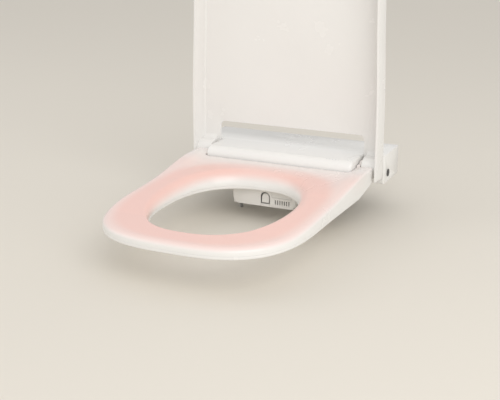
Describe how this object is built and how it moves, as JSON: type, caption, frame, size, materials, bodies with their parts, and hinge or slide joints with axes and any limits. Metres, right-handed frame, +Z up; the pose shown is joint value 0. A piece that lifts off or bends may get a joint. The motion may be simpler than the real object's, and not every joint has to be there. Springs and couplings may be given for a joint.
{
  "type": "electric bidet seat",
  "caption": "Heated toilet seat and lid hinged on a flat housing with a sliding spray wand, warm-air flap and side button; bolts to a pan.",
  "frame": {"origin": "midway between the two pan bolts, on the underside of the mounting bracket, which is the level of the pan rim", "axes": "+X to the right of someone facing the wall, +Y towards the wall, +Z up; lid open and seat down at rest"},
  "size_m": [0.3815, 0.5919, 0.582],
  "materials": {
    "white_gloss": "glossy moulded",
    "grey_plastic": "matt moulded",
    "white_plastic": "satin moulded",
    "black_plastic": "satin",
    "lens": "translucent",
    "rubber": "matt",
    "steel": "satin",
    "brass": "satin",
    "foil": "satin",
    "board": "satin",
    "carbon": "rough"
  },
  "bodies": {
    "housing": {"housing_cover": "white_gloss", "base_plate": "grey_plastic", "mounting_bracket": "grey_plastic", "fixing_bolts": "steel", "cover_screws": "steel", "spray_well": "white_plastic", "well_cover": "white_plastic", "nozzle_bezel": "white_plastic", "flap_pin": "steel", "wand_motor": "steel", "wand_guide": "grey_plastic", "feed_pipe": "steel", "diverter_valve": "grey_plastic", "dryer_duct": "grey_plastic", "dryer_heater": "steel", "blower_case": "black_plastic", "blower_motor": "steel", "odour_duct": "grey_plastic", "filter_case": "grey_plastic", "carbon_filter": "carbon", "fan_case": "black_plastic", "water_inlet": "brass", "inlet_strainer": "steel", "solenoid_valve": "white_plastic", "cold_pipe": "rubber", "water_heater": "grey_plastic", "water_pump": "black_plastic", "warm_pipe": "rubber", "power_supply": "black_plastic", "main_board": "board", "cable_gland": "black_plastic", "indicator_board": "board", "indicator_lenses": "lens", "button_switch": "black_plastic", "seat_damper": "grey_plastic", "lid_damper": "grey_plastic"},
    "seat": {"seat_top": "white_gloss", "seat_base": "white_gloss", "seat_shaft": "steel", "seat_bush": "grey_plastic", "heating_foil": "foil", "occupancy_sensor": "black_plastic", "seat_bumpers": "rubber"},
    "lid": {"lid_shell": "white_gloss", "lid_shaft": "steel", "lid_bush": "grey_plastic", "lid_bumpers": "rubber"},
    "wand": {"nozzle_tip": "white_plastic", "wand_tube": "white_plastic", "wand_rack": "white_plastic"},
    "pinion": {"drive_pinion": "brass"},
    "flap": {"dryer_flap": "white_plastic"},
    "button": {"side_button": "black_plastic"},
    "release": {"release_button": "white_gloss", "latch_arm": "grey_plastic"},
    "impeller": {"blower_impeller": "black_plastic"},
    "rotor": {"fan_rotor": "black_plastic"}
  },
  "joints": [
    {"name": "seat_hinge", "type": "hinge", "parent": "housing", "child": "seat", "pos_m": [0, 0.043, 0.037], "axis": [-1, 0, 0], "range_deg": [0, 90]},
    {"name": "lid_hinge", "type": "hinge", "parent": "housing", "child": "lid", "pos_m": [0, 0.043, 0.037], "axis": [-1, 0, 0], "range_deg": [-90, 0]},
    {"name": "nozzle_slide", "type": "slide", "parent": "housing", "child": "wand", "axis": [0, -0.8829, -0.4695], "range_m": [0, 0.055]},
    {"name": "pinion_spin", "type": "hinge", "parent": "housing", "child": "pinion", "pos_m": [0.001, 0.00041, 0.02921], "axis": [-1, 0, 0], "range_deg": [0, 635]},
    {"name": "dryer_flap_hinge", "type": "hinge", "parent": "housing", "child": "flap", "pos_m": [0.03425, -0.06075, -0.0012], "axis": [-1, 0, 0], "range_deg": [0, 55]},
    {"name": "side_button_press", "type": "slide", "parent": "housing", "child": "button", "axis": [-1, 0, 0], "range_m": [0, 0.0015], "stiffness_N_per_m": 800},
    {"name": "release_press", "type": "slide", "parent": "housing", "child": "release", "axis": [1, 0, 0], "range_m": [0, 0.003], "stiffness_N_per_m": 900},
    {"name": "blower_spin", "type": "hinge", "parent": "housing", "child": "impeller", "pos_m": [0.046, 0.092, 0.032], "axis": [0, 0, 1], "continuous": true},
    {"name": "fan_spin", "type": "hinge", "parent": "housing", "child": "rotor", "pos_m": [0.102, 0.098, 0.024], "axis": [0, 0, 1], "continuous": true}
  ],
  "couplings": [
    {"joint": "pinion_spin", "follows": "nozzle_slide", "rad_per_m": 200}
  ]
}
